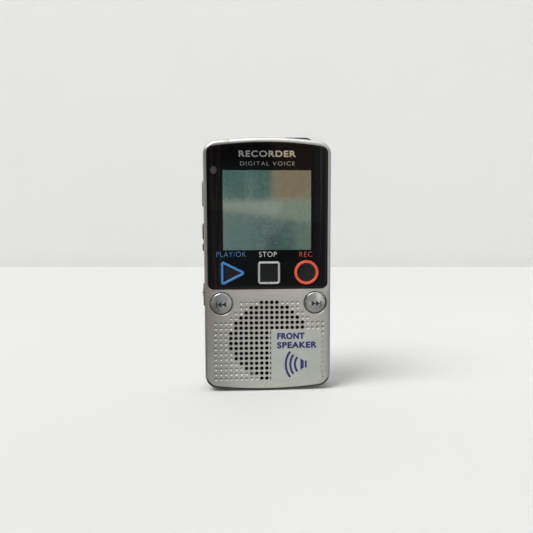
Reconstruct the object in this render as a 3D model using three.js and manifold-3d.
// Handheld voice recorder, standing upright on its bottom end.
// Millimetres. +Z runs along the long axis, the front face looks towards -Y, +X is the
// viewer's right. The origin is the middle of the bottom end, half way through the thickness.
import * as THREE from 'three';
import { mergeVertices } from 'three/addons/utils/BufferGeometryUtils.js';
import Module from 'manifold-3d';

// A span is a [low, high] pair along one axis.
const around = (centre, half) => [centre - half, centre + half];
const widen = ([low, high], by) => [low - by, high + by];
const middle = ([low, high]) => (low + high) / 2;
const lengthOf = ([low, high]) => high - low;

// ---------------------------------------------------------------- driving dimensions
const WIDTH = 55.3;
const HEIGHT = 110.7;          // along the centre line
const THICK = 18.5;
const END_RADIUS = 190.0;      // convex radius of the top and bottom ends
const CORNER = 5.75;           // corner radius seen from the front
const EDGE_FRONT = 1.2;        // rounding of the front edge
const EDGE_BACK = 3.0;         // rounding of the back edge
const WALL = 1.5;              // shell wall
const SEAM_Y = 0.6;            // where the two shells meet
const PARTING_GAP = 0.12;      // open seam between them
const OVERLAP = 0.3;           // how far joined features sink into each other
const OVERCUT = 1;             // how far cutting tools reach past a face

const WINDOW = {
  half: 26.15, bottom: 45.2,
  top: 108.6, topRadius: 162.3, // upper edge on the centre line, and the radius of its arc
  topCorner: 3.0, bottomCorner: 2.8,
};
const WINDOW_GAP = 0.12;       // between lens and recess
const LENS_T = 0.9;
const POCKET_DEPTH = 1.15;     // depth of the window recess
const LEDGE_T = 0.75;          // wall behind the recess
const LEDGE_BOTTOM = 44.75;

const LCD_HALF = 19.4;         // visible display half width
const LCD_Z = [62.1, 96.9];
const PIPE_X = -23.25;         // indicator lamp beside the display
const PIPE_Z = 96.6;
const PIPE_R = 1.05;

const KEY_PROUD = 0.6;         // raised key outlines above the lens
const KEY_GAP = 0.2;
const PLAY_CORNERS = [[-19.4, 56.35], [-19.4, 48.3], [-11.4, 52.3]]; // corner centres, [x, z]
const PLAY_ROUND = 1.0;
const PLAY_DOME = [-16.5, 52.35];
const STOP_POS = [0.45, 52.35];
const STOP_SIZE = [9.55, 9.85];
const STOP_ROUND = 1.2;
const REC_POS = [16.85, 52.4];
const REC_R = 5.3;

const REWIND_X = -20.4;
const FORWARD_X = 20.8;
const BUTTON_Z = 39.05;
const BUTTON_R = 4.6;
const BUTTON_HOLE_R = 4.9;

const GRID = 2.25;             // grille pitch
const GRID_X = 0.5;            // grille and loudspeaker centre
const GRID_Z = 22.45;
const GRILLE_HOLE_R = 0.74;
// holes in each row, top row first
const GRILLE_ROWS = [4, 8, 10, 12, 14, 14, 16, 16, 16, 16, 14, 14, 12, 10, 8, 4];
const SPEAKER_R = 18.0;

const CELL_R = 5.2;            // AAA cell
const CELL_X = 5.4;
const CELL_Y = 2.35;
const CELL_Z = [51.5, 96.0];

const DOOR_HALF = 14.9;        // battery door half width
const DOOR_TOP = 99.6;
const DOOR_T = 1.5;
const HINGE_Z = 45.8;
const BARREL_R = 1.6;          // hinge barrel along the door's lower edge
const PIN_R = 0.9;
const PIN_REACH = 1.3;         // pin beyond each end of the barrel

const SIDE_Y = -2.5;           // centre of the side controls through the thickness
const SIDE_PROUD = 0.8;
const SIDE_CAP_W = 3.8;
const SIDE_GAP = 0.25;
const MENU_Z = [81.2, 92.5];
const VOLUME_Z = [61.6, 73.9];
const HOLD_Z = [37.2, 47.5];
const HOLD_STEM_Z = [41.2, 43.8];
const HOLD_STEM_GAP = 0.3;
const HOLD_TRAVEL = 2.5;       // upward slide of the hold switch

const JACK_Y = -1.45;
const EAR_Z = 87.0;
const MIC_JACK_Z = 74.0;
const JACK_R = 2.6;

const MIC_X = 13.8;            // microphone under the top end
const MIC_Y = -3.4;
const MIC_HALF = 5.8;          // half width of its grille
const MIC_HALF_DEPTH = 2.1;
const MIC_PROUD = 1.05;

// ---------------------------------------------------------------- derived levels
const FRONT_Y = -THICK / 2;
const BACK_Y = THICK / 2;
const HALF = WIDTH / 2;
const FRONT_INNER = FRONT_Y + WALL;
const REAR_INNER = BACK_Y - WALL;
const LENS_BACK = FRONT_Y + LENS_T;
const POCKET_FLOOR = FRONT_Y + POCKET_DEPTH;
const LEDGE_BACK = POCKET_FLOOR + LEDGE_T;
const HINGE_Y = BACK_Y - BARREL_R;

const WINDOW_CUT = [FRONT_Y - OVERCUT, LEDGE_BACK + OVERCUT];
const LEFT_WALL_CUT = [-HALF - 1, -HALF + WALL + 0.5];
const RIGHT_WALL_CUT = [HALF - WALL - 0.5, HALF + 1];

const BOARD_Y = [-5.0, -4.0];
const BOARD_GAP = 0.04;        // below every part mounted on the board
const ON_BOARD_FRONT = BOARD_Y[0] - BOARD_GAP;
const ON_BOARD_BACK = BOARD_Y[1] + BOARD_GAP;

// screw bosses: foot and pilot are the front ends (Y) of the front boss and of its pilot hole
const LOW_BOSS = { z: 7.9, foot: FRONT_INNER - OVERLAP, pilot: -6.6 };
const HIGH_BOSS = { z: 102.0, foot: LEDGE_BACK - OVERLAP, pilot: -6.0 };
const BOSSES = [
  { where: 'lower_left', x: -22.0, ...LOW_BOSS },
  { where: 'lower_right', x: 22.0, ...LOW_BOSS },
  { where: 'upper_left', x: -22.0, ...HIGH_BOSS },
  { where: 'upper_right', x: 22.0, ...HIGH_BOSS },
];

// [colour, roughness, metalness]
const FINISH = {
  silver: [0xa7a8a3, 0.38, 0.6],
  darkSilver: [0x8d8f8c, 0.42, 0.55],
  glossBlack: [0x08080a, 0.08, 0.0],
  black: [0x1a1b1d, 0.5, 0.0],
  steel: [0xb4b6b8, 0.3, 1.0],
  brass: [0xc9a35a, 0.3, 1.0],
  board: [0x1f5a38, 0.45, 0.0],
  chip: [0x151617, 0.5, 0.0],
  lcd: [0x74837a, 0.25, 0.0],
  lcdHolder: [0xd9dad6, 0.6, 0.0],
  lcdConnector: [0xd88a9c, 0.7, 0.0],
  lightPipe: [0xb8bab8, 0.3, 0.0],
  led: [0xe8e4d2, 0.3, 0.0],
  blueKey: [0x2f75bd, 0.35, 0.1],
  greyKey: [0xb9babb, 0.35, 0.1],
  redKey: [0xe0552f, 0.35, 0.1],
  silicone: [0x3a3b3d, 0.8, 0.0],
  roundButton: [0xb2b4b3, 0.3, 0.7],
  buttonSwitch: [0xbfc1c2, 0.35, 0.6],
  sideSwitch: [0xc8cacb, 0.35, 0.6],
  menuButton: [0x9b9d9c, 0.4, 0.4],
  volumeRocker: [0x55585a, 0.45, 0.2],
  holdSlider: [0x7d8080, 0.45, 0.3],
  micGrille: [0x16182a, 0.5, 0.0],
  rubber: [0x26272a, 0.8, 0.0],
  cloth: [0x0c0c0d, 0.9, 0.0],
  foam: [0x202123, 0.95, 0.0],
  cone: [0x2a2622, 0.85, 0.0],
  redWire: [0xb02a24, 0.5, 0.0],
  blackWire: [0x18191a, 0.5, 0.0],
  cell: [0x2d5b8a, 0.35, 0.3],
  label: [0xa3a59f, 0.35, 0.3],
};

// ---------------------------------------------------------------- solids
const wasm = await Module();
wasm.setup();

function solid(geometry) {
  geometry.deleteAttribute('normal');
  geometry.deleteAttribute('uv');
  const merged = mergeVertices(geometry, 1e-4);
  return new wasm.Manifold(new wasm.Mesh({
    numProp: 3,
    vertProperties: new Float32Array(merged.attributes.position.array),
    triVerts: new Uint32Array(merged.index.array),
  }));
}

function geometryOf(body) {
  const mesh = body.getMesh();
  const geometry = new THREE.BufferGeometry();
  const positions = Float32Array.from(mesh.vertProperties);
  geometry.setAttribute('position', new THREE.BufferAttribute(positions, 3));
  geometry.setIndex(Array.from(mesh.triVerts));
  geometry.computeVertexNormals();
  return geometry;
}

const join = (...bodies) => bodies.reduce((sum, body) => sum.add(body));
const cut = (body, ...tools) => tools.reduce((rest, tool) => rest.subtract(tool), body);

function box(xSpan, ySpan, zSpan) {
  const spans = [xSpan, ySpan, zSpan];
  return solid(new THREE.BoxGeometry(...spans.map(lengthOf)).translate(...spans.map(middle)));
}

const cylinder = (radius, span, sides) =>
  new THREE.CylinderGeometry(radius, radius, lengthOf(span), sides);

// cylinders along each axis
const rodX = (y, z, radius, span, sides) => solid(
  cylinder(radius, span, sides).rotateZ(Math.PI / 2).translate(middle(span), y, z));
const rodY = (x, z, radius, span, sides) => solid(
  cylinder(radius, span, sides).translate(x, middle(span), z));
const rodZ = (x, y, radius, span, sides) => solid(
  cylinder(radius, span, sides).rotateX(Math.PI / 2).translate(x, y, middle(span)));

// turned piece about an axis parallel to Y; the profile is [radius, y] points,
// either from axis to axis or a closed ring
function turnY(x, z, profile, sides) {
  const points = profile.map(([radius, y]) => new THREE.Vector2(radius, y));
  const area = points.reduce((sum, point, i) =>
    sum + point.cross(points[(i + 1) % points.length]), 0);
  if (area < 0) points.reverse();
  if (points[0].x > 1e-6) points.push(points[0].clone());
  return solid(new THREE.LatheGeometry(points, sides).translate(x, 0, z));
}

const shapeOf = (points) => new THREE.Shape(points.map(([u, v]) => new THREE.Vector2(u, v)));

// flat outline in the XZ plane pushed through the thickness
function prism(points, ySpan) {
  const options = { depth: lengthOf(ySpan), bevelEnabled: false, curveSegments: 1 };
  const geometry = new THREE.ExtrudeGeometry(shapeOf(points), options);
  return solid(geometry.rotateX(Math.PI / 2).translate(0, ySpan[1], 0));
}

// five-sided wire following a curve
function sweep(path, radius, steps) {
  return solid(new THREE.ExtrudeGeometry(shapeOf(circle(0, 0, radius, 5)),
    { steps, bevelEnabled: false, extrudePath: path, curveSegments: 1 }));
}

// ---------------------------------------------------------------- outlines
const QUARTER = Math.PI / 2;
const END_STEPS = 9;           // facets of an end arc
const CORNER_STEPS = 4;        // facets of a rounded corner

function arc(centreX, centreZ, radius, start, end, steps) {
  const points = [];
  for (let i = 0; i <= steps; i++) {
    const angle = start + (end - start) * i / steps;
    points.push([centreX + radius * Math.cos(angle), centreZ + radius * Math.sin(angle)]);
  }
  return points;
}

const circle = (x, z, radius, sides) =>
  arc(x, z, radius, 0, 2 * Math.PI * (sides - 1) / sides, sides - 1);

// drops points that coincide with the one before
function dedupe(points) {
  return points.filter(([x, z], i) => {
    const before = points[(i + points.length - 1) % points.length];
    return Math.hypot(x - before[0], z - before[1]) > 1e-4;
  });
}

// where a corner arc touches an end arc: the corner's centre x, its distance along Z
// from the end arc's centre, and the angle of the touching point from the Z axis
function endCorner(half, endRadius, corner) {
  const x = half - corner;
  const reach = Math.sqrt((endRadius - corner) ** 2 - x ** 2);
  return { x, reach, tilt: Math.atan2(x, reach) };
}

// body outline moved inwards by inset
function outline(inset) {
  const { x, reach, tilt } = endCorner(HALF, END_RADIUS, CORNER);
  const top = HEIGHT - END_RADIUS + reach;
  const bottom = END_RADIUS - reach;
  const corner = CORNER - inset;
  const end = END_RADIUS - inset;
  return dedupe([
    ...arc(0, END_RADIUS, end, -QUARTER - tilt, -QUARTER + tilt, END_STEPS),
    ...arc(x, bottom, corner, -QUARTER + tilt, 0, CORNER_STEPS),
    ...arc(x, top, corner, 0, QUARTER - tilt, CORNER_STEPS),
    ...arc(0, HEIGHT - END_RADIUS, end, QUARTER - tilt, QUARTER + tilt, END_STEPS),
    ...arc(-x, top, corner, QUARTER + tilt, 2 * QUARTER, CORNER_STEPS),
    ...arc(-x, bottom, corner, 2 * QUARTER, 3 * QUARTER - tilt, CORNER_STEPS),
  ]);
}

// window outline moved inwards by inset
function windowOutline(inset) {
  const half = WINDOW.half - inset;
  const end = WINDOW.topRadius - inset;
  const endZ = WINDOW.top - WINDOW.topRadius;
  const topCorner = WINDOW.topCorner - inset;
  const lowCorner = WINDOW.bottomCorner - inset;
  const { x, reach, tilt } = endCorner(half, end, topCorner);
  const top = endZ + reach;
  const lowX = half - lowCorner;
  const bottom = WINDOW.bottom + inset + lowCorner;
  return dedupe([
    ...arc(-lowX, bottom, lowCorner, 2 * QUARTER, 3 * QUARTER, CORNER_STEPS),
    ...arc(lowX, bottom, lowCorner, 3 * QUARTER, 4 * QUARTER, CORNER_STEPS),
    ...arc(x, top, topCorner, 0, QUARTER - tilt, CORNER_STEPS),
    ...arc(0, endZ, end, QUARTER - tilt, QUARTER + tilt, END_STEPS),
    ...arc(-x, top, topCorner, QUARTER + tilt, 2 * QUARTER, CORNER_STEPS),
  ]);
}

// convex counter-clockwise corner centres grown by radius with rounded corners;
// a negative or tiny radius gives sharp corners
function grown(centres, radius) {
  const count = centres.length;
  return dedupe(centres.flatMap(([x, z], i) => {
    const before = centres[(i + count - 1) % count];
    const after = centres[(i + 1) % count];
    const start = Math.atan2(before[0] - x, z - before[1]);
    let end = Math.atan2(x - after[0], after[1] - z);
    if (end < start) end += 2 * Math.PI;
    if (radius > 0.02) return arc(x, z, radius, start, end, CORNER_STEPS);
    const bisector = (start + end) / 2;
    const mitre = radius / Math.cos((end - start) / 2);
    return [[x + mitre * Math.cos(bisector), z + mitre * Math.sin(bisector)]];
  }));
}

// corner centres of a rounded rectangle
function boxCorners([centreX, centreZ], [width, height], round) {
  const [left, right] = around(centreX, width / 2 - round);
  const [low, high] = around(centreZ, height / 2 - round);
  return [[left, low], [right, low], [right, high], [left, high]];
}

// height of the top end at x
const topAt = (x) => HEIGHT - END_RADIUS + Math.sqrt(END_RADIUS ** 2 - x ** 2);

// slice of the full body between two Y levels, with its long edges rounded
function bodySlice(edge, segments, ySpan) {
  const geometry = new THREE.ExtrudeGeometry(shapeOf(outline(0)), {
    depth: THICK - 2 * edge, bevelEnabled: true, bevelThickness: edge, bevelSize: edge,
    bevelOffset: -edge, bevelSegments: segments, curveSegments: 1,
  });
  return solid(geometry.rotateX(Math.PI / 2).translate(0, BACK_Y - edge, 0))
    .intersect(box(around(0, HALF + OVERCUT), ySpan, widen([0, HEIGHT], OVERCUT)));
}

// round-ended bar across the side wall, for caps and their openings
function sideSlot(zSpan, width, xSpan) {
  const radius = width / 2;
  const [low, high] = widen(zSpan, -radius);
  return join(box(xSpan, around(SIDE_Y, radius), [low, high]),
    rodX(SIDE_Y, low, radius, xSpan, 12),
    rodX(SIDE_Y, high, radius, xSpan, 12));
}

const jackHoles = [EAR_Z, MIC_JACK_Z].map((z) =>
  rodX(JACK_Y, z, JACK_R + 0.2, RIGHT_WALL_CUT, 18));

// ---------------------------------------------------------------- scene
const recorder = new THREE.Group();
recorder.name = 'voice_recorder';

function piece(name, body, [color, roughness, metalness]) {
  const material = new THREE.MeshStandardMaterial({ color, roughness, metalness });
  const mesh = new THREE.Mesh(geometryOf(body), material);
  mesh.name = name;
  recorder.add(mesh);
}

// outline(margin) is the key's edge grown by margin; dome is the [x, z] of its snap dome
const STOP_CORNERS = boxCorners(STOP_POS, STOP_SIZE, STOP_ROUND);
const KEYS = [
  {
    name: 'play', stroke: 1.05, finish: FINISH.blueKey, dome: PLAY_DOME,
    outline: (margin) => grown(PLAY_CORNERS, PLAY_ROUND + margin),
  },
  {
    name: 'stop', stroke: 0.9, finish: FINISH.greyKey, dome: STOP_POS,
    outline: (margin) => grown(STOP_CORNERS, STOP_ROUND + margin),
  },
  {
    name: 'rec', stroke: 1.5, finish: FINISH.redKey, dome: REC_POS,
    outline: (margin) => circle(...REC_POS, REC_R + margin, 24),
  },
];
const keyHoles = (margin) => KEYS.map((key) => prism(key.outline(margin), WINDOW_CUT));

// ---------------------------------------------------------------- front shell
function grilleHoles() {
  const ySpan = widen([FRONT_Y, FRONT_INNER], OVERCUT);
  const holes = GRILLE_ROWS.flatMap((count, row) => {
    const z = GRID_Z + ((GRILLE_ROWS.length - 1) / 2 - row) * GRID;
    return Array.from({ length: count }, (_, i) =>
      rodY(GRID_X + (i - (count - 1) / 2) * GRID, z, GRILLE_HOLE_R, ySpan, 6));
  });
  return wasm.Manifold.compose(holes);
}

function frontShell() {
  const ledgeY = [FRONT_Y + OVERLAP, LEDGE_BACK];
  const ledge = prism(outline(WALL - OVERLAP), ledgeY)
    .intersect(box([-HALF, HALF], ledgeY, [LEDGE_BOTTOM, HEIGHT]));
  const hollow = cut(bodySlice(EDGE_FRONT, 2, [FRONT_Y - OVERCUT, SEAM_Y]),
    prism(outline(WALL), [FRONT_INNER, SEAM_Y + OVERCUT]));
  const bosses = BOSSES.map(({ x, z, foot }) => rodY(x, z, 2.6, [foot, SEAM_Y - 0.1], 12));
  const pilots = BOSSES.map(({ x, z, pilot }) =>
    rodY(x, z, 1.0, [pilot, SEAM_Y + OVERCUT], 8));
  const buttonHoles = [REWIND_X, FORWARD_X].map((x) =>
    rodY(x, BUTTON_Z, BUTTON_HOLE_R, widen([FRONT_Y, FRONT_INNER], OVERCUT), 24));
  const capHoles = [MENU_Z, VOLUME_Z].map((zSpan) =>
    sideSlot(widen(zSpan, SIDE_GAP), SIDE_CAP_W + 2 * SIDE_GAP, LEFT_WALL_CUT));
  const holdHoleZ = widen([HOLD_STEM_Z[0], HOLD_STEM_Z[1] + HOLD_TRAVEL], HOLD_STEM_GAP);
  return cut(join(hollow, ledge, ...bosses),
    ...pilots,
    prism(windowOutline(-WINDOW_GAP), [FRONT_Y - OVERCUT, POCKET_FLOOR]),
    box(around(0, LCD_HALF + 0.8), WINDOW_CUT, widen(LCD_Z, 0.8)),
    ...keyHoles(KEY_GAP),
    rodY(PIPE_X, PIPE_Z, PIPE_R + 0.2, WINDOW_CUT, 12),
    ...buttonHoles,
    ...capHoles,
    box(LEFT_WALL_CUT, around(SIDE_Y, 0.9), holdHoleZ),
    ...jackHoles,
    box(around(MIC_X, MIC_HALF + 0.3), around(MIC_Y, MIC_HALF_DEPTH + 0.25),
      [HEIGHT - 4, HEIGHT + OVERCUT]),
    grilleHoles());
}
piece('front_shell', frontShell(), FINISH.silver);

// ---------------------------------------------------------------- window and mask
piece('window_lens',
  cut(prism(windowOutline(0), [FRONT_Y, LENS_BACK]), ...keyHoles(KEY_GAP)),
  FINISH.glossBlack);

piece('window_mask', cut(
  prism(windowOutline(0.3), [LENS_BACK + 0.04, LENS_BACK + 0.18]),
  ...keyHoles(0.4),
  box([-LCD_HALF, LCD_HALF], WINDOW_CUT, LCD_Z),
  rodY(PIPE_X, PIPE_Z, PIPE_R, WINDOW_CUT, 12),
), FINISH.black);

// ---------------------------------------------------------------- display and indicator
const PANEL_HALF = 21;
const PANEL_FRONT = -7.25;
const PANEL_Z = [60.6, 98.2];
const PANEL_GAP = 0.12;

piece('lcd_panel', box([-PANEL_HALF, PANEL_HALF], [PANEL_FRONT, -5.8], PANEL_Z), FINISH.lcd);
piece('lcd_holder', cut(
  box(around(0, 21.9), [PANEL_FRONT, -5.2], [60.0, 98.9]),
  box(around(0, PANEL_HALF + PANEL_GAP), [-8, -5.7], widen(PANEL_Z, PANEL_GAP)),
  box(around(0, 19.5), [-6, -5], [60.9, 63.0]), // opening for the connector
), FINISH.lcdHolder);
piece('lcd_connector', box(around(0, 19.2), [-5.75, ON_BOARD_FRONT], [61.1, 62.8]),
  FINISH.lcdConnector);

piece('indicator_pipe', rodY(PIPE_X, PIPE_Z, PIPE_R, [LENS_BACK + 0.24, -5.95], 12),
  FINISH.lightPipe);
piece('indicator_led', box(around(PIPE_X, 0.8), [-5.85, ON_BOARD_FRONT], around(PIPE_Z, 0.6)),
  FINISH.led);

// ---------------------------------------------------------------- circuit board
const BOARD_HALF = 24.6;
const BOARD_CUT = widen(BOARD_Y, OVERCUT);
const CHIP_Y = [ON_BOARD_BACK, BOARD_Y[1] + 1.1];

// cleared around the loudspeaker, the upper bosses and the microphone
piece('main_board', cut(
  box([-BOARD_HALF, BOARD_HALF], BOARD_Y, [34.6, 105.0]),
  rodY(GRID_X, GRID_Z, SPEAKER_R + 1.0, BOARD_CUT, 24),
  box([18.8, 26], BOARD_CUT, [98.8, 106]),
  box([-26, -18.8], BOARD_CUT, [98.8, 106]),
  box(around(MIC_X, 4.1), BOARD_CUT, [101.4, 106]),
), FINISH.board);
piece('processor_chip', box([14.0, 21.5], CHIP_Y, [59.0, 66.5]), FINISH.chip);
piece('memory_chip', box([-20.5, -13.5], CHIP_Y, [50.0, 58.0]), FINISH.chip);

// ---------------------------------------------------------------- front keys
const FLANGE = 0.75;           // rim that holds the key behind the ledge

// raised outline around a sunken face, which is filled by a glossy inlay
for (const { name, outline: edge, stroke, finish } of KEYS) {
  piece(name + '_key', cut(
    join(prism(edge(0), [FRONT_Y - KEY_PROUD, LEDGE_BACK + 0.3]),
      prism(edge(FLANGE), [LEDGE_BACK + 0.1, LEDGE_BACK + 0.75])),
    prism(edge(-stroke), [FRONT_Y - KEY_PROUD - OVERCUT, FRONT_Y + 0.6]),
  ), finish);
  piece(name + '_key_inlay', prism(edge(-stroke - 0.05), [FRONT_Y - 0.15, FRONT_Y + 0.55]),
    FINISH.glossBlack);
}

// silicone sheet with a nub behind each key, and a snap dome on the board
const SHEET_FRONT = -6.2;
const nubs = KEYS.map(({ dome }) =>
  rodY(...dome, 1.4, [SHEET_FRONT + 0.3, SHEET_FRONT + 0.65], 10));
piece('keypad_membrane',
  join(box(around(0, 23.8), [SHEET_FRONT, SHEET_FRONT + 0.4], [45.6, 59.2]), ...nubs),
  FINISH.silicone);

const DOME_PROFILE = [
  [0, -5.42], [1.3, -5.36], [2.4, -5.12], [2.4, ON_BOARD_FRONT], [0, ON_BOARD_FRONT],
];
for (const { name, dome } of KEYS) {
  piece(name + '_dome', turnY(...dome, DOME_PROFILE, 14), FINISH.steel);
}

// ---------------------------------------------------------------- rewind and forward buttons
// crowned face, retaining flange behind the wall, then the stem; [radius, y]
const BUTTON_PROFILE = [
  [0, FRONT_Y - 0.7], [1.6, FRONT_Y - 0.66], [3.1, FRONT_Y - 0.5], [4.1, FRONT_Y - 0.22],
  [BUTTON_R, FRONT_Y + 0.15], [BUTTON_R, FRONT_INNER + 0.25],
  [5.2, FRONT_INNER + 0.25], [5.2, FRONT_INNER + 0.9],
  [1.6, FRONT_INNER + 0.9], [1.6, -5.95], [0, -5.95],
];
const BUTTONS = [['rewind', REWIND_X], ['forward', FORWARD_X]];
for (const [name, x] of BUTTONS) {
  piece(name + '_button', turnY(x, BUTTON_Z, BUTTON_PROFILE, 20), FINISH.roundButton);
}
for (const [name, x] of BUTTONS) {
  piece(name + '_switch', join(
    box(around(x, 2.3), [-5.4, ON_BOARD_FRONT], around(BUTTON_Z, 2.3)),
    rodY(x, BUTTON_Z, 1.1, [-5.52, -5.3], 10),
  ), FINISH.buttonSwitch);
}

// ---------------------------------------------------------------- left side controls
const WALL_IN = -HALF + WALL;
const CAP_OUT = -HALF - SIDE_PROUD;
const SWITCH_X = -BOARD_HALF + 0.3; // outer face of the switch bodies
const MENU_MID = middle(MENU_Z);
const VOLUME_MID = middle(VOLUME_Z);
const VOLUME_SWITCH_Z = [VOLUME_MID + 3.8, VOLUME_MID - 3.8]; // up, down

// long cap with round ends and a stepped outer edge
const sideCap = (zSpan, inner) => join(
  sideSlot(zSpan, SIDE_CAP_W, [CAP_OUT + 0.35, inner]),
  sideSlot(widen(zSpan, -0.45), SIDE_CAP_W - 0.9, [CAP_OUT, CAP_OUT + 0.6]));

piece('menu_button', join(
  sideCap(MENU_Z, WALL_IN + 0.4),
  box([WALL_IN + 0.1, WALL_IN + 0.6], around(SIDE_Y, 2.0), widen(MENU_Z, 0.8)), // flange
  box([WALL_IN + 0.4, SWITCH_X - 0.45], around(SIDE_Y, 0.8), around(MENU_MID, 0.85)), // plunger
), FINISH.menuButton);

function volumeRocker() {
  const plungers = VOLUME_SWITCH_Z.map((z) =>
    box([WALL_IN + 0.4, SWITCH_X - 0.35], around(SIDE_Y, 0.7), around(z, 0.7)));
  const rocker = join(
    sideCap(VOLUME_Z, WALL_IN + 0.1),
    box([WALL_IN, WALL_IN + 0.6], around(SIDE_Y, 1.4), widen(VOLUME_Z, -0.9)),
    box([WALL_IN + 0.15, WALL_IN + 0.75], around(SIDE_Y, 2.6), around(VOLUME_MID, 1.1)),
    ...plungers);
  // groove across the middle of the outer face
  return cut(rocker,
    box([CAP_OUT - OVERCUT, CAP_OUT + 0.45], around(SIDE_Y, 3), around(VOLUME_MID, 0.9)));
}
piece('volume_rocker', volumeRocker(), FINISH.volumeRocker);

// plate on the outside, with a raised rib and a stem through the wall
piece('hold_slider', join(
  sideSlot(HOLD_Z, 3.2, [-HALF - 0.65, -HALF - 0.12]),
  box([CAP_OUT - 0.25, -HALF - 0.4], around(SIDE_Y, 1.2), [42.5, 44.1]),
  box([-HALF - 0.3, WALL_IN + 0.75], around(SIDE_Y, 0.65), HOLD_STEM_Z),
), FINISH.holdSlider);

function sideSwitch(name, z) {
  piece(name, join(
    box([SWITCH_X, SWITCH_X + 3.2], [ON_BOARD_BACK, BOARD_Y[1] + 2.9], around(z, 2.2)),
    box([SWITCH_X - 0.12, SWITCH_X + 0.3], around(SIDE_Y, 0.6), around(z, 0.7)),
  ), FINISH.sideSwitch);
}
sideSwitch('menu_switch', MENU_MID);
sideSwitch('volume_switch_up', VOLUME_SWITCH_Z[0]);
sideSwitch('volume_switch_down', VOLUME_SWITCH_Z[1]);
piece('hold_switch',
  box([SWITCH_X, SWITCH_X + 3.0], [ON_BOARD_BACK, BOARD_Y[1] + 2.7], [39.6, 47.4]),
  FINISH.sideSwitch);

// ---------------------------------------------------------------- top microphone
// the grille follows the top end, rises towards the right and drops off at its right tip
function micGrille() {
  const steps = 8;
  const upper = [];
  const lower = [];
  for (let i = 0; i <= steps; i++) {
    const along = i / steps;
    const x = MIC_X - MIC_HALF + 2 * MIC_HALF * along;
    const rise = Math.min(1, 0.45 + 0.75 * along);
    const dropOff = Math.sqrt(Math.min(1, (1 - along) / 0.16 + 0.1));
    upper.push([x, topAt(x) + MIC_PROUD * rise * dropOff]);
    lower.push([x, topAt(x) - 1.7]);
  }
  const holes = [-2.4, 0, 2.4].map((offset) => rodZ(MIC_X + offset, MIC_Y, 0.5, [104, 113], 8));
  return cut(prism([...lower, ...upper.reverse()], around(MIC_Y, MIC_HALF_DEPTH)), ...holes);
}
piece('mic_grille', micGrille(), FINISH.micGrille);

const micRod = (radius, zSpan, sides) => rodZ(MIC_X, MIC_Y, radius, zSpan, sides);
piece('microphone_boot', cut(
  micRod(3.4, [102.0, 107.8], 16),
  micRod(2.85, [102.9, 109], 16),
  micRod(1.2, [101, 104], 10),
), FINISH.rubber);
piece('microphone', micRod(2.75, [103.0, 107.6], 16), FINISH.steel);

// ---------------------------------------------------------------- sockets on the right side
for (const [name, z] of [['ear_jack', EAR_Z], ['mic_jack', MIC_JACK_Z]]) {
  piece(name, cut(
    join(
      box([14.2, HALF - WALL - 0.1], [ON_BOARD_BACK, BOARD_Y[1] + 5.1], around(z, 3.1)),
      rodX(JACK_Y, z, JACK_R, [HALF - WALL - 0.6, HALF - 0.1], 18)),
    rodX(JACK_Y, z, 1.8, [15.2, HALF + OVERCUT], 14),
  ), FINISH.black);
}

// ---------------------------------------------------------------- loudspeaker
// closed rings or axis-to-axis profiles, [radius, y]
const GASKET_PROFILE = [[16.6, -7.5], [18.3, -7.5], [18.3, -6.9], [16.6, -6.9]];
const FRAME_PROFILE = [
  [16.5, -6.85], [SPEAKER_R, -6.85], [SPEAKER_R, -6.25], [16.7, -6.25],
  [13.0, -2.4], [9.3, -2.4], [9.3, -3.0], [12.7, -3.0], [16.1, -6.6],
];
const CONE_PROFILE = [
  [0, -5.9], [3.4, -5.5], [5.2, -4.7], [15.2, -6.75], [15.7, -6.75],
  [15.7, -6.5], [5.2, -4.3], [3.2, -5.1], [0, -5.5],
];
const speakerRing = (profile) => turnY(GRID_X, GRID_Z, profile, 20);

piece('grille_cloth',
  rodY(GRID_X, GRID_Z, 18.5, [FRONT_INNER + 0.05, FRONT_INNER + 0.2], 24), FINISH.cloth);
piece('speaker_gasket', speakerRing(GASKET_PROFILE), FINISH.foam);
piece('speaker_frame', speakerRing(FRAME_PROFILE), FINISH.steel);
piece('speaker_cone', speakerRing(CONE_PROFILE), FINISH.cone);
piece('speaker_magnet', rodY(GRID_X, GRID_Z, 9.0, [-3.2, 1.4], 20), FINISH.steel);

// [x, y, z] points from the loudspeaker up to the board
const RED_WIRE = [[6.22, -2.0, 34.25], [7.82, 0.2, 37.15], [8.62, -0.6, 41.15], [8.42, -3.3, 44.05]];
const BLACK_WIRE = [
  [3.62, -2.0, 34.85], [4.42, 0.2, 37.65], [5.42, -0.4, 41.45], [5.62, -3.3, 44.05],
];
function wire(name, points, finish) {
  const path = new THREE.CatmullRomCurve3(points.map((point) => new THREE.Vector3(...point)));
  piece(name, sweep(path, 0.45, 9), finish);
}
wire('speaker_wire_red', RED_WIRE, FINISH.redWire);
wire('speaker_wire_black', BLACK_WIRE, FINISH.blackWire);

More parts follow.
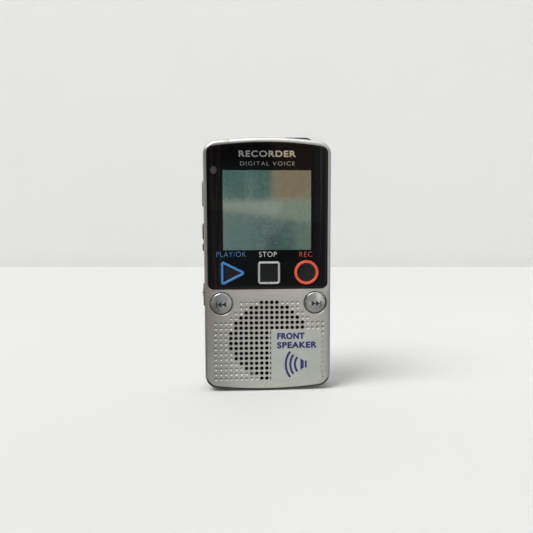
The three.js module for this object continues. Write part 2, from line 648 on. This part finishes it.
// ---------------------------------------------------------------- rear shell
function rearShell() {
  const doorWell = around(0, DOOR_HALF + 0.3);
  const hollow = cut(bodySlice(EDGE_BACK, 3, [SEAM_Y + PARTING_GAP, BACK_Y + OVERCUT]),
    prism(outline(WALL), [SEAM_Y - OVERCUT, REAR_INNER]));
  // battery box, thickening around the door, and the hinge block
  const blocks = join(hollow,
    box(around(0, 12.0), [-3.7, BACK_Y - 1.6], [48.0, 99.4]),
    box(around(0, 17.6), [BACK_Y - 3.0, BACK_Y - 1.2], [47.6, 101.2]),
    box(around(0, 17.6), [4.9, BACK_Y - 1.2], [42.4, 49.0]));
  // battery space, door recess, hinge recess, pin bores and sockets
  const opened = cut(blocks,
    box(around(0, 10.95), [-3.1, BACK_Y + OVERCUT], [49.0, 98.4]),
    box(doorWell, [BACK_Y - DOOR_T - 0.15, BACK_Y + OVERCUT], [45.0, DOOR_TOP + 0.3]),
    box(doorWell, [5.6, BACK_Y + OVERCUT],
      [HINGE_Z - BARREL_R - 0.35, HINGE_Z + BARREL_R + 0.4]),
    rodX(HINGE_Y, HINGE_Z, PIN_R + 0.15, around(0, 16.7), 14),
    ...jackHoles);
  const bosses = BOSSES.map(({ x, z }) =>
    rodY(x, z, 3.0, [SEAM_Y + 0.3, REAR_INNER + OVERLAP], 12));
  // wide bore for each screw head, narrow one for its shank
  const bores = BOSSES.flatMap(({ x, z }) => [
    rodY(x, z, 2.15, [2.4, BACK_Y + OVERCUT], 14),
    rodY(x, z, 1.25, [SEAM_Y - OVERCUT, 3], 8),
  ]);
  return cut(join(opened, ...bosses), ...bores);
}
piece('rear_shell', rearShell(), FINISH.darkSilver);

// ---------------------------------------------------------------- battery door
function batteryDoor() {
  const inside = BACK_Y - DOOR_T;
  const tabs = [[-9.6, -8.8], [8.8, 9.6]].map((xSpan) =>
    box(xSpan, [inside - 0.8, inside + 0.2], [96.4, 98.2]));
  // four grooves on the outer face, shorter towards the bottom
  const grooves = [0, 1, 2, 3].map((i) =>
    box(around(0, 4.5 - i * 0.6), [BACK_Y - 0.35, BACK_Y + OVERCUT],
      [93.0 - i * 1.6, 93.7 - i * 1.6]));
  return cut(join(
    box([-DOOR_HALF, DOOR_HALF], [inside, BACK_Y], [HINGE_Z, DOOR_TOP]),
    rodX(HINGE_Y, HINGE_Z, BARREL_R, [-DOOR_HALF, DOOR_HALF], 20),
    rodX(HINGE_Y, HINGE_Z, PIN_R, around(0, DOOR_HALF + PIN_REACH), 12),
    ...tabs), ...grooves);
}
piece('battery_door', batteryDoor(), FINISH.darkSilver);

// ---------------------------------------------------------------- cells and contacts
const NUB = 0.8;               // height of a cell's positive end

function cell(name, x, nubUp) {
  const [low, high] = CELL_Z;
  const can = nubUp ? [low, high - NUB] : [low + NUB, high];
  const nub = nubUp ? [can[1] - OVERLAP, high] : [low, can[0] + OVERLAP];
  piece(name, join(rodZ(x, CELL_Y, CELL_R, can, 20), rodZ(x, CELL_Y, 1.9, nub, 12)), FINISH.cell);
}
cell('battery_left', -CELL_X, true);
cell('battery_right', CELL_X, false);

const PLATE_Y = [-2.0, 6.6];
const LOW_PLATE_Z = [49.12, 49.5];
const contactPad = (x, zSpan) => rodZ(x, CELL_Y, 2.3, zSpan, 12);

piece('contact_negative', box([-10.4, -0.7], PLATE_Y, LOW_PLATE_Z), FINISH.brass);
piece('contact_positive',
  join(box([0.7, 10.4], PLATE_Y, LOW_PLATE_Z), contactPad(CELL_X, [49.3, 51.4])),
  FINISH.brass);
piece('contact_bridge',
  join(box([-10.4, 10.4], PLATE_Y, [97.9, 98.28]), contactPad(-CELL_X, [96.1, 98.0])),
  FINISH.brass);

// conical contact spring, from its wide end on the plate to its narrow end at the cell
const SPRING = { wide: 3.6, narrow: 2.0, turns: 2.6, wire: 0.24 };

class SpringCurve extends THREE.Curve {
  constructor(x, start, end) {
    super();
    Object.assign(this, { x, start, end });
  }

  getPoint(along, target = new THREE.Vector3()) {
    const angle = along * Math.PI * 2 * SPRING.turns;
    const radius = SPRING.wide + (SPRING.narrow - SPRING.wide) * along;
    return target.set(this.x + radius * Math.cos(angle), CELL_Y + radius * Math.sin(angle),
      this.start + (this.end - this.start) * along);
  }
}
const spring = (x, start, end) => sweep(new SpringCurve(x, start, end), SPRING.wire, 28);
piece('spring_left', spring(-CELL_X, 49.85, 51.15), FINISH.steel);
piece('spring_right', spring(CELL_X, 97.55, 96.35), FINISH.steel);

// ---------------------------------------------------------------- screws
// head towards the back, point towards the front; [radius, y]
const SCREW_PROFILE = [
  [0, 3.8], [1.4, 3.8], [1.9, 3.3], [1.9, 2.5], [0.85, 2.5], [0.85, -5.2], [0, -5.6],
];
for (const { where, x, z } of BOSSES) {
  piece('screw_' + where, turnY(x, z, SCREW_PROFILE, 10), FINISH.steel);
}

// ---------------------------------------------------------------- film label over the grille
piece('grille_label', box([1.3, 23.5], [FRONT_Y - 0.12, FRONT_Y - 0.02], [4.4, 27.3]),
  FINISH.label);

export default recorder;
